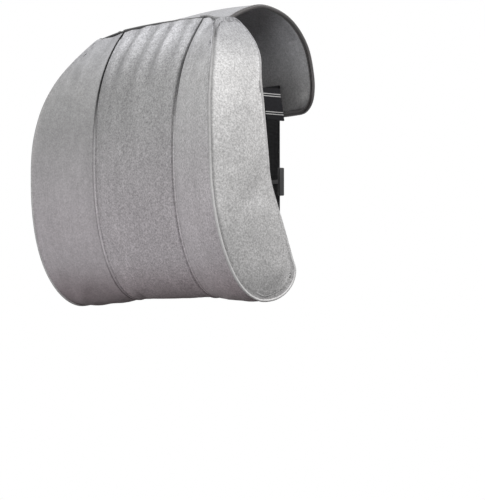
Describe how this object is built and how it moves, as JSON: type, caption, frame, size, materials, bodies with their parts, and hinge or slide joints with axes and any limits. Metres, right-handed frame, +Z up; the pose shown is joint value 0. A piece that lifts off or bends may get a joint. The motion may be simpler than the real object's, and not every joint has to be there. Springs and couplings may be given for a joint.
{
  "type": "car neck pillow",
  "caption": "Moulded foam neck pillow in a sewn suede cover, concave to the front, hung over a car headrest by a wide flap, a strap and a hook.",
  "frame": {"origin": "middle of the flat part of the pillow's back, on the face that lies against the headrest", "axes": "+Y out of the back towards the headrest, -Y the side the neck rests on, +X the end with the side tag, +Z up"},
  "size_m": [0.285, 0.1831, 0.2736],
  "materials": {
    "suede": "grey short-nap suede cloth",
    "back_cloth": "plain grey knitted lining cloth",
    "foam": "pale open-cell moulded foam",
    "zip_tape": "dark woven tape",
    "binding": "charcoal binding tape",
    "webbing": "black ribbed elastic webbing",
    "tag": "black woven satin label",
    "plastic": "black moulded acetal",
    "metal": "gunmetal plated"
  },
  "bodies": {
    "pillow": {"foam_core": "foam", "front_left_panel": "suede", "front_centre_panel": "suede", "front_right_panel": "suede", "end_panel_left": "suede", "end_panel_right": "suede", "piping_left": "suede", "piping_right": "suede", "back_panel_upper": "back_cloth", "back_panel_lower": "back_cloth", "zip_tape_upper": "zip_tape", "zip_tape_lower": "zip_tape", "zip_teeth_upper": "plastic", "zip_teeth_lower": "plastic", "zip_stop_left": "metal", "zip_stop_right": "metal", "top_flap": "suede", "flap_binding": "binding", "elastic_strap": "webbing", "strap_hook": "plastic", "tab_ring": "metal", "lower_tab": "webbing", "side_tag": "tag"},
    "slider": {"zip_slider": "metal"},
    "pull": {"zip_pull": "metal"},
    "adjuster": {"strap_adjuster": "plastic"}
  },
  "joints": [
    {"name": "zip_slide", "type": "slide", "parent": "pillow", "child": "slider", "axis": [1, 0, 0], "range_m": [0, 0.2164]},
    {"name": "pull_turn", "type": "hinge", "parent": "slider", "child": "pull", "pos_m": [-0.1082, 0.01826, -0.08127], "axis": [0, -0.3319, 0.9433], "range_deg": [0, 180]},
    {"name": "adjuster_slide", "type": "slide", "parent": "pillow", "child": "adjuster", "axis": [0, 0, 1], "range_m": [-0.035, 0.04]}
  ]
}
